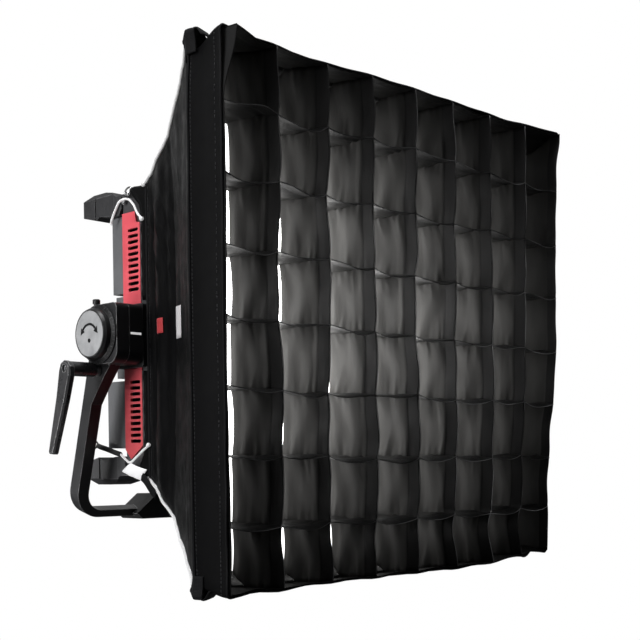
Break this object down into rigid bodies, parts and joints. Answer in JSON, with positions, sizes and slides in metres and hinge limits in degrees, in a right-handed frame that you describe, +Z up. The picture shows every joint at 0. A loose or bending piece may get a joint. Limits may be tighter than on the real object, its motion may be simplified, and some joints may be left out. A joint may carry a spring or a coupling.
{
  "type": "softbox light",
  "caption": "Square soft box with fabric egg-crate grid on an LED panel head, tilting in a yoke with a stand spigot.",
  "frame": {"origin": "centre of the spigot's seating shoulder, on the spigot's axis, under the yoke", "axes": "+Z up; the light faces -Y; X runs across, with the clamp lever on -X"},
  "size_m": [0.6504, 0.431, 0.6264],
  "materials": {
    "yoke_metal": "satin black powder coat",
    "steel": "machined",
    "black_plastic": "fine moulded grain",
    "cap_metal": "satin",
    "bronze": "machined",
    "lever_metal": "satin black powder coat",
    "head_metal": "satin black",
    "red_metal": "matt red anodised look",
    "friction": "matt",
    "bumper_plastic": "fine moulded grain",
    "sink_aluminium": "extruded",
    "board": "solder mask",
    "emitter": "phosphor",
    "window": "milky diffusing sheet",
    "fan_plastic": "moulded",
    "cover_metal": "satin dark grey",
    "display": "gloss",
    "knob_rubber": "soft touch",
    "rocker_plastic": "gloss",
    "socket_plastic": "matt",
    "socket_metal": "satin",
    "screw_chrome": "bright",
    "black_fabric": "coated black nylon, slight sheen",
    "grid_fabric": "black woven polyester",
    "white_fabric": "white diffusion cloth",
    "white_rod": "glass-fibre rod",
    "white_elastic": "braided elastic",
    "white_tag": "woven tape"
  },
  "bodies": {
    "yoke": {"yoke_frame": "yoke_metal", "yoke_base_block": "yoke_metal", "spigot": "steel", "base_screws": "steel", "hub_housing_left": "black_plastic", "hub_housing_right": "black_plastic", "hub_bezels": "black_plastic", "hub_cap_left": "cap_metal", "hub_cap_right": "cap_metal", "pivot_bushes": "bronze"},
    "hub_button": {"hub_button": "black_plastic"},
    "clamp_screw": {"clamp_screw": "steel"},
    "lever": {"lever_handle": "lever_metal", "lever_cap_screw": "steel"},
    "fan_left": {"fan_rotor_left": "fan_plastic"},
    "fan_right": {"fan_rotor_right": "fan_plastic"},
    "dimmer_knob": {"dimmer_knob": "knob_rubber"},
    "menu_knob": {"menu_knob": "knob_rubber"},
    "menu_button_1": {"menu_button_1": "knob_rubber"},
    "menu_button_2": {"menu_button_2": "knob_rubber"},
    "menu_button_3": {"menu_button_3": "knob_rubber"},
    "menu_button_4": {"menu_button_4": "knob_rubber"},
    "power_rocker": {"power_rocker": "rocker_plastic"},
    "head": {"head_frame": "head_metal", "front_bezel": "head_metal", "side_plate_left": "red_metal", "side_plate_right": "red_metal", "pivot_block_left": "black_plastic", "pivot_block_right": "black_plastic", "pivot_shafts": "steel", "friction_discs": "friction", "bumper_top_left": "bumper_plastic", "bumper_top_right": "bumper_plastic", "bumper_bottom_left": "bumper_plastic", "bumper_bottom_right": "bumper_plastic", "heat_sink": "sink_aluminium", "led_board": "board", "led_emitters": "emitter", "light_panel_window": "window", "fan_housings": "fan_plastic", "power_supply": "sink_aluminium", "driver_board": "board", "rear_cover_upper": "cover_metal", "rear_cover_middle": "cover_metal", "control_housing": "cover_metal", "control_board": "board", "display_window": "display", "power_inlet": "socket_plastic", "data_sockets": "socket_metal", "housing_screws": "screw_chrome", "softbox_skin": "black_fabric", "softbox_collar": "black_fabric", "corner_rods": "white_rod", "corner_pockets": "black_fabric", "inner_baffle": "white_fabric", "front_diffuser": "white_fabric", "grid": "grid_fabric", "bungee_cords": "white_elastic", "cord_hooks": "black_plastic", "fabric_tags": "white_tag"}
  },
  "joints": [
    {"name": "head_tilt", "type": "hinge", "parent": "yoke", "child": "head", "pos_m": [0, -0.085, 0.2445], "axis": [-1, 0, 0], "range_deg": [-30, 90]},
    {"name": "hub_button_press", "type": "slide", "parent": "yoke", "child": "hub_button", "axis": [0, 0, -1], "range_m": [0, 0.0025]},
    {"name": "clamp_turn", "type": "hinge", "parent": "yoke", "child": "clamp_screw", "pos_m": [-0.25, -0.067, 0.2], "axis": [1, 0, 0], "range_deg": [-45, 45]},
    {"name": "lever_pull", "type": "slide", "parent": "clamp_screw", "child": "lever", "axis": [-1, 0, 0], "range_m": [0, 0.005]},
    {"name": "fan_left_spin", "type": "hinge", "parent": "head", "child": "fan_left", "pos_m": [-0.07, -0.05, 0.3525], "axis": [0, 1, 0], "continuous": true},
    {"name": "fan_right_spin", "type": "hinge", "parent": "head", "child": "fan_right", "pos_m": [0.07, -0.05, 0.3525], "axis": [0, 1, 0], "continuous": true},
    {"name": "dimmer_turn", "type": "hinge", "parent": "head", "child": "dimmer_knob", "pos_m": [0.084, -0.01, 0.1455], "axis": [0, 1, 0], "continuous": true},
    {"name": "menu_turn", "type": "hinge", "parent": "head", "child": "menu_knob", "pos_m": [0.122, -0.01, 0.1455], "axis": [0, 1, 0], "continuous": true},
    {"name": "menu_press_1", "type": "slide", "parent": "head", "child": "menu_button_1", "axis": [0, -1, 0], "range_m": [0, 0.0015]},
    {"name": "menu_press_2", "type": "slide", "parent": "head", "child": "menu_button_2", "axis": [0, -1, 0], "range_m": [0, 0.0015]},
    {"name": "menu_press_3", "type": "slide", "parent": "head", "child": "menu_button_3", "axis": [0, -1, 0], "range_m": [0, 0.0015]},
    {"name": "menu_press_4", "type": "slide", "parent": "head", "child": "menu_button_4", "axis": [0, -1, 0], "range_m": [0, 0.0015]},
    {"name": "power_rock", "type": "hinge", "parent": "head", "child": "power_rocker", "pos_m": [0.156, -0.019, 0.1415], "axis": [-1, 0, 0], "range_deg": [0, 12]}
  ]
}
